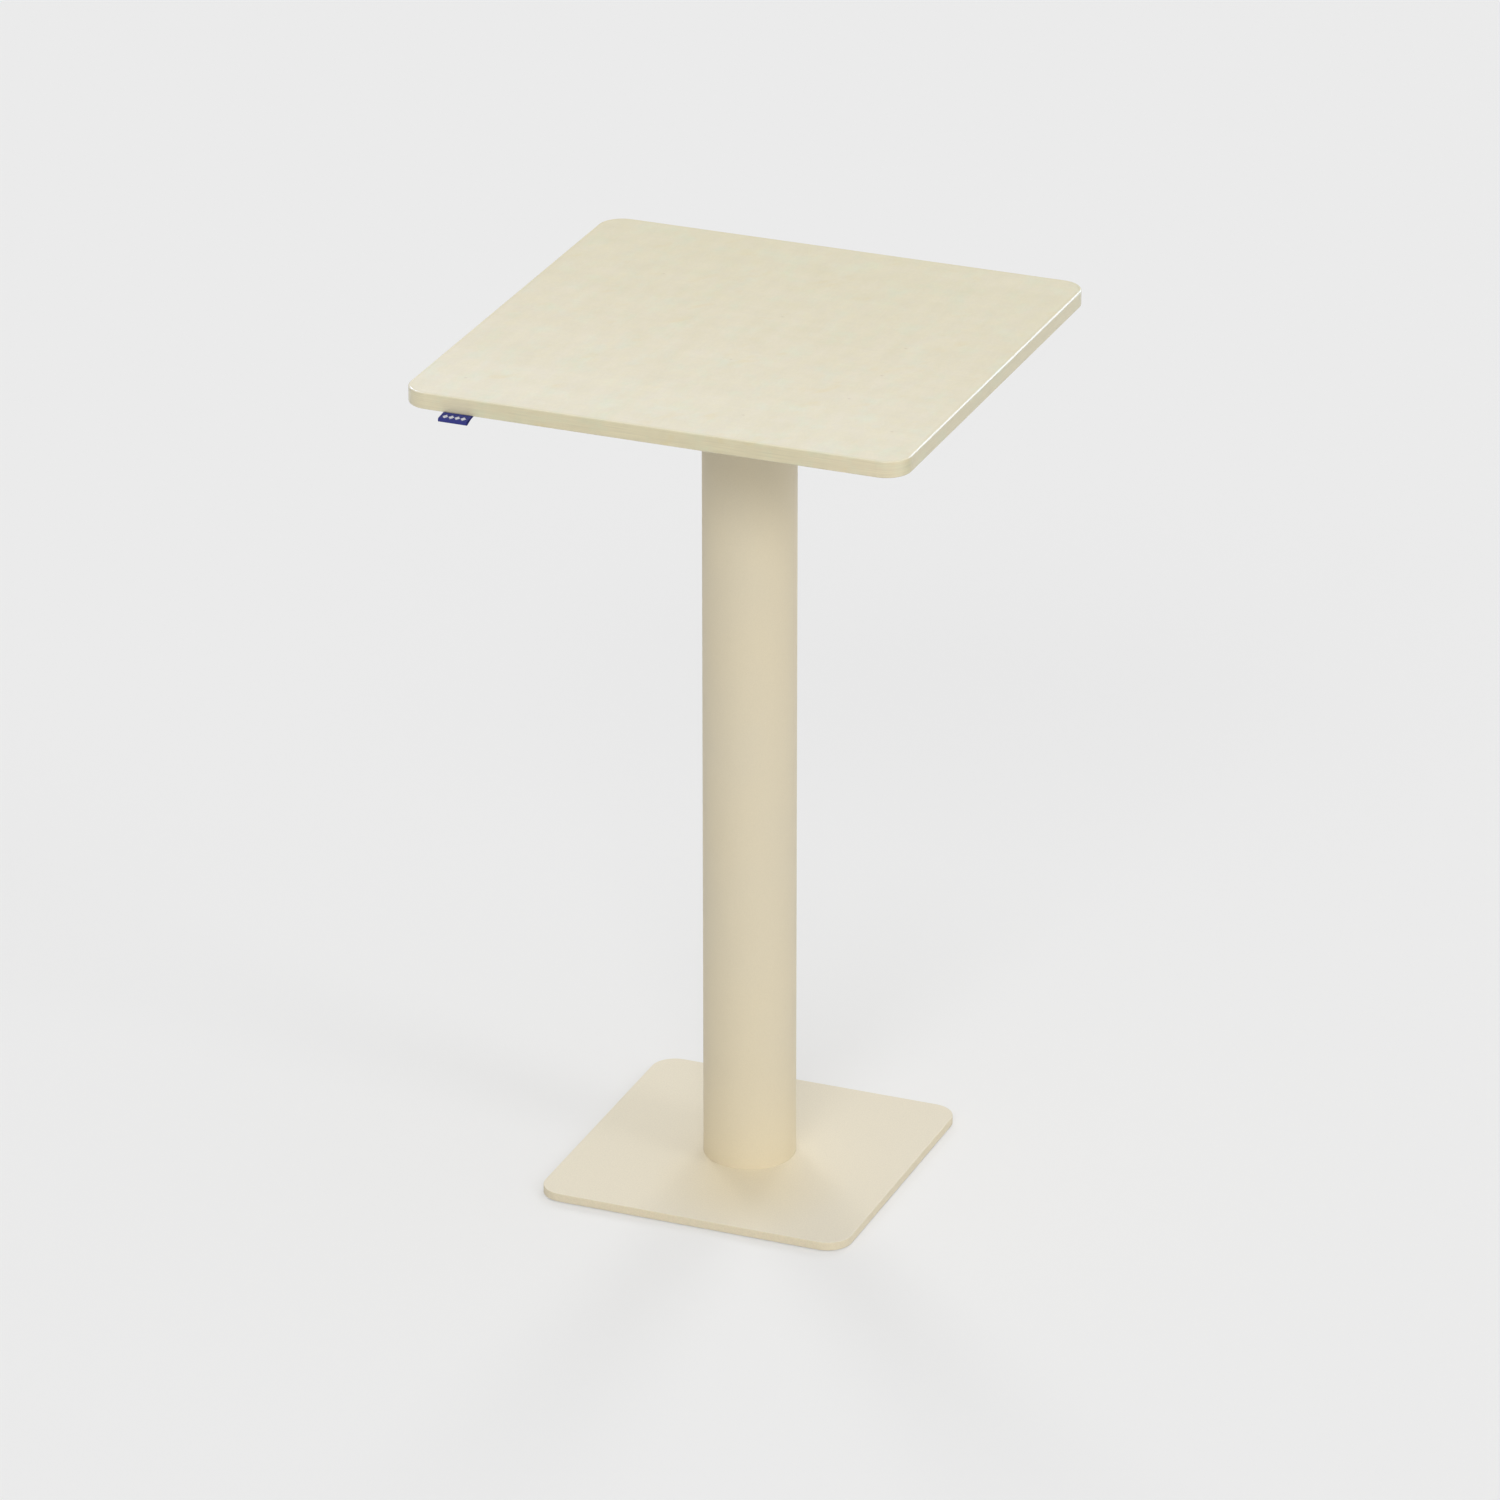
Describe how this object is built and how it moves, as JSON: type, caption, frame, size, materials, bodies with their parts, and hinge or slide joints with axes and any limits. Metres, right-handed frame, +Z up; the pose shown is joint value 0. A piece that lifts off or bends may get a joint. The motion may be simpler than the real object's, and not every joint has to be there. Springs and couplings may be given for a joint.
{
  "type": "telescoping pedestal table",
  "caption": "Square standing-height table with a rounded pale wood top on one round telescoping column with a flat square base plate and a release lever under the top.",
  "frame": {"origin": "on the floor under the middle of the column, in the underside of the floor pad", "axes": "+Z up along the column, -Y the front edge with the fabric tag, +X the side of the release lever"},
  "size_m": [0.605, 0.6221, 1.05],
  "materials": {
    "powder_coat": "fine sand-textured powder coat, warm beige",
    "face_veneer": "pale maple veneer, satin lacquer",
    "backing_veneer": "pale maple backing veneer, matt lacquer",
    "edge_lipping": "pale maple lipping, satin lacquer",
    "board_core": "bare particle board",
    "satin_steel": "satin ground",
    "painted_steel": "black textured paint",
    "raw_steel": "as turned",
    "zinc_fasteners": "bright zinc plated",
    "brass_inserts": "as turned",
    "hard_chrome": "ground and polished",
    "black_cylinder": "black paint",
    "cast_aluminium": "machined",
    "guide_plastic": "moulded black acetal",
    "grip_plastic": "moulded black nylon",
    "rubber": "matt",
    "tag_ribbon": "woven navy ribbon"
  },
  "bodies": {
    "pedestal": {"base_plate": "powder_coat", "floor_pad": "rubber", "foot_bolts": "zinc_fasteners", "column_foot": "raw_steel", "outer_tube": "powder_coat", "upper_bush": "guide_plastic", "bush_screws": "zinc_fasteners", "buffer_ring": "rubber", "standpipe": "raw_steel", "standpipe_cap": "raw_steel", "spring_nut": "zinc_fasteners", "cylinder_tube": "black_cylinder", "cylinder_plug": "black_cylinder", "rod_guide": "cast_aluminium", "rod_seal": "rubber"},
    "lift": {"inner_tube": "satin_steel", "lower_bush": "guide_plastic", "lower_bush_screws": "zinc_fasteners", "guide_key": "satin_steel", "guide_key_screws": "zinc_fasteners", "stop_collar": "satin_steel", "collar_screws": "zinc_fasteners", "mounting_plate": "painted_steel", "plate_gussets": "painted_steel", "mounting_screws": "zinc_fasteners", "threaded_inserts": "brass_inserts", "top_core": "board_core", "top_face_veneer": "face_veneer", "top_backing_veneer": "backing_veneer", "edge_band": "edge_lipping", "piston": "raw_steel", "piston_seal": "rubber", "piston_rod": "hard_chrome", "rod_nut": "zinc_fasteners", "release_head": "cast_aluminium", "head_screws": "zinc_fasteners", "lever_pivot_pin": "raw_steel", "label_tag": "tag_ribbon", "tag_staples": "zinc_fasteners"},
    "lever": {"release_lever": "painted_steel", "lever_grip": "grip_plastic"},
    "release_pin": {"release_pin": "hard_chrome"},
    "glide_front_left": {"glide_front_left": "grip_plastic"},
    "glide_front_right": {"glide_front_right": "grip_plastic"},
    "glide_back_left": {"glide_back_left": "grip_plastic"},
    "glide_back_right": {"glide_back_right": "grip_plastic"}
  },
  "joints": [
    {"name": "column_lift", "type": "slide", "parent": "pedestal", "child": "lift", "axis": [0, 0, 1], "range_m": [0, 0.2]},
    {"name": "lever_pull", "type": "hinge", "parent": "lift", "child": "lever", "pos_m": [0.026, 0, 1.00715], "axis": [0, -1, 0], "range_deg": [0, 6.5], "stiffness_Nm_per_rad": 10, "springref_deg": -5.73},
    {"name": "release_pin_press", "type": "slide", "parent": "lift", "child": "release_pin", "axis": [0, 0, -1], "range_m": [0, 0.003]},
    {"name": "glide_front_left_adjust", "type": "slide", "parent": "pedestal", "child": "glide_front_left", "axis": [0, 0, -1], "range_m": [0, 0.003]},
    {"name": "glide_front_right_adjust", "type": "slide", "parent": "pedestal", "child": "glide_front_right", "axis": [0, 0, -1], "range_m": [0, 0.003]},
    {"name": "glide_back_left_adjust", "type": "slide", "parent": "pedestal", "child": "glide_back_left", "axis": [0, 0, -1], "range_m": [0, 0.003]},
    {"name": "glide_back_right_adjust", "type": "slide", "parent": "pedestal", "child": "glide_back_right", "axis": [0, 0, -1], "range_m": [0, 0.003]}
  ],
  "couplings": [
    {"joint": "release_pin_press", "follows": "lever_pull", "m_per_rad": 0.026}
  ]
}
